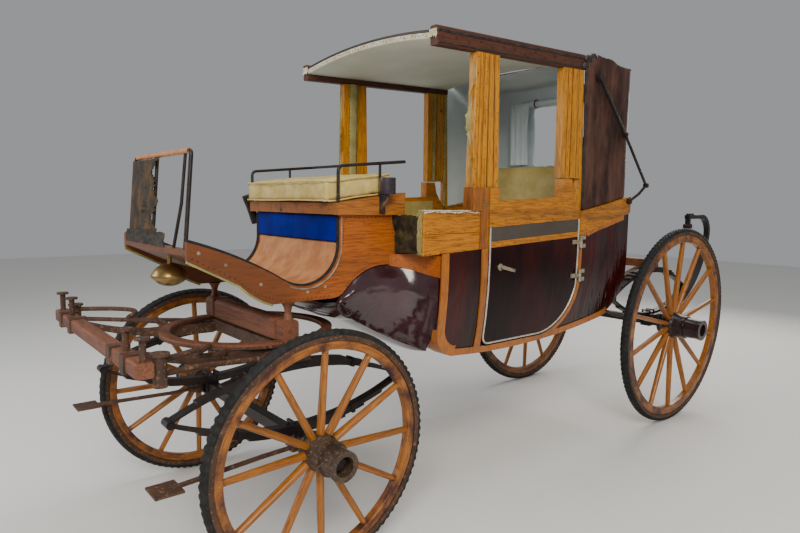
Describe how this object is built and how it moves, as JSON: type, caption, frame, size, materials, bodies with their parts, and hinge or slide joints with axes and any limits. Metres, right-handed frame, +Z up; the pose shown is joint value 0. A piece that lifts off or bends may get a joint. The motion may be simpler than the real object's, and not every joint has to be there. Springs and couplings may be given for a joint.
{
  "type": "horse-drawn carriage",
  "caption": "Landau carriage in mid-repair: oak frame, maroon panels, half hood, box seat with iron rail, turning fore carriage, wooden wheels with rubber tyres, hinged doors.",
  "frame": {"origin": "on the ground, under the middle of the length and width", "axes": "+X towards the front, the way it travels; +Y its left side; +Z up"},
  "size_m": [4.0939, 1.6022, 2.2426],
  "materials": {
    "black_iron": "black painted wrought iron, rusted",
    "black_leather": "cracked black leather, torn",
    "blue_cloth": "dark blue cloth",
    "brass": "dull brass",
    "cream_leather": "yellowed cream leather",
    "dark_wood": "dark stained wood",
    "hood_leather": "aged dark maroon leather",
    "maroon_paint": "deep maroon varnish, scuffed",
    "oak": "oiled orange oak",
    "roof_cloth": "bare cloth over boards",
    "tan_leather": "tan leather",
    "tyre": "worn black rubber",
    "wheel_wood": "varnished oak, worn"
  },
  "bodies": {
    "body": {"belt_rails": "oak", "body_hinges": "black_iron", "body_loops": "black_iron", "body_mouldings": "oak", "boot": "maroon_paint", "box_cushion": "cream_leather", "c_springs": "black_iron", "cantrails": "oak", "dash_frame": "black_iron", "dash_leather": "black_leather", "foot_gong": "brass", "footboard": "oak", "front_planks": "oak", "front_seat": "cream_leather", "hood": "hood_leather", "lamp_sockets": "black_iron", "landau_irons": "black_iron", "leather_apron": "tan_leather", "pillar_blocks": "dark_wood", "posts": "oak", "rear_axle": "black_iron", "rear_bar": "oak", "rear_posts": "oak", "rear_seat": "cream_leather", "rear_seat_back": "cream_leather", "rear_springs": "black_iron", "riser_panel": "blue_cloth", "roof": "roof_cloth", "seat_bench": "oak", "seat_box": "oak", "seat_rail": "black_iron", "side_plates": "oak", "tub": "maroon_paint", "upper_bed": "dark_wood"},
    "fore_carriage": {"lower_bed": "dark_wood", "futchells": "oak", "splinter_bar": "dark_wood", "splinter_irons": "black_iron", "steps": "black_iron", "wheel_irons": "black_iron", "front_axle": "black_iron", "front_springs": "black_iron"},
    "door_left": {"door_left": "maroon_paint", "door_left_hinges": "black_iron", "door_left_rail": "oak"},
    "door_right": {"door_right": "maroon_paint", "door_right_hinges": "black_iron", "door_right_rail": "oak"},
    "wheel_front_left": {"front_left_tyre": "tyre", "front_left_spokes": "wheel_wood", "front_left_nave": "wheel_wood"},
    "wheel_front_right": {"front_right_tyre": "tyre", "front_right_spokes": "wheel_wood", "front_right_nave": "wheel_wood"},
    "wheel_rear_left": {"rear_left_tyre": "tyre", "rear_left_spokes": "wheel_wood", "rear_left_nave": "wheel_wood"},
    "wheel_rear_right": {"rear_right_tyre": "tyre", "rear_right_spokes": "wheel_wood", "rear_right_nave": "wheel_wood"}
  },
  "joints": [
    {"name": "steering", "type": "hinge", "parent": "body", "child": "fore_carriage", "pos_m": [1.389, 0, 0.838], "axis": [0, 0, 1], "range_deg": [-20, 20]},
    {"name": "door_left_hinge", "type": "hinge", "parent": "body", "child": "door_left", "pos_m": [-0.2895, 0.5755, 1.1], "axis": [0, 0, 1], "range_deg": [0, 80]},
    {"name": "door_right_hinge", "type": "hinge", "parent": "body", "child": "door_right", "pos_m": [-0.2895, -0.5755, 1.1], "axis": [0, 0, -1], "range_deg": [0, 80]},
    {"name": "front_left_spin", "type": "hinge", "parent": "fore_carriage", "child": "wheel_front_left", "pos_m": [1.389, 0.621, 0.4753], "axis": [0, 0.9995, -0.0332], "continuous": true},
    {"name": "front_right_spin", "type": "hinge", "parent": "fore_carriage", "child": "wheel_front_right", "pos_m": [1.389, -0.621, 0.4753], "axis": [0, -0.9995, -0.0332], "continuous": true},
    {"name": "rear_left_spin", "type": "hinge", "parent": "body", "child": "wheel_rear_left", "pos_m": [-1.333, 0.621, 0.63621], "axis": [0, 0.9995, -0.0332], "continuous": true},
    {"name": "rear_right_spin", "type": "hinge", "parent": "body", "child": "wheel_rear_right", "pos_m": [-1.333, -0.621, 0.63621], "axis": [0, -0.9995, -0.0332], "continuous": true}
  ]
}
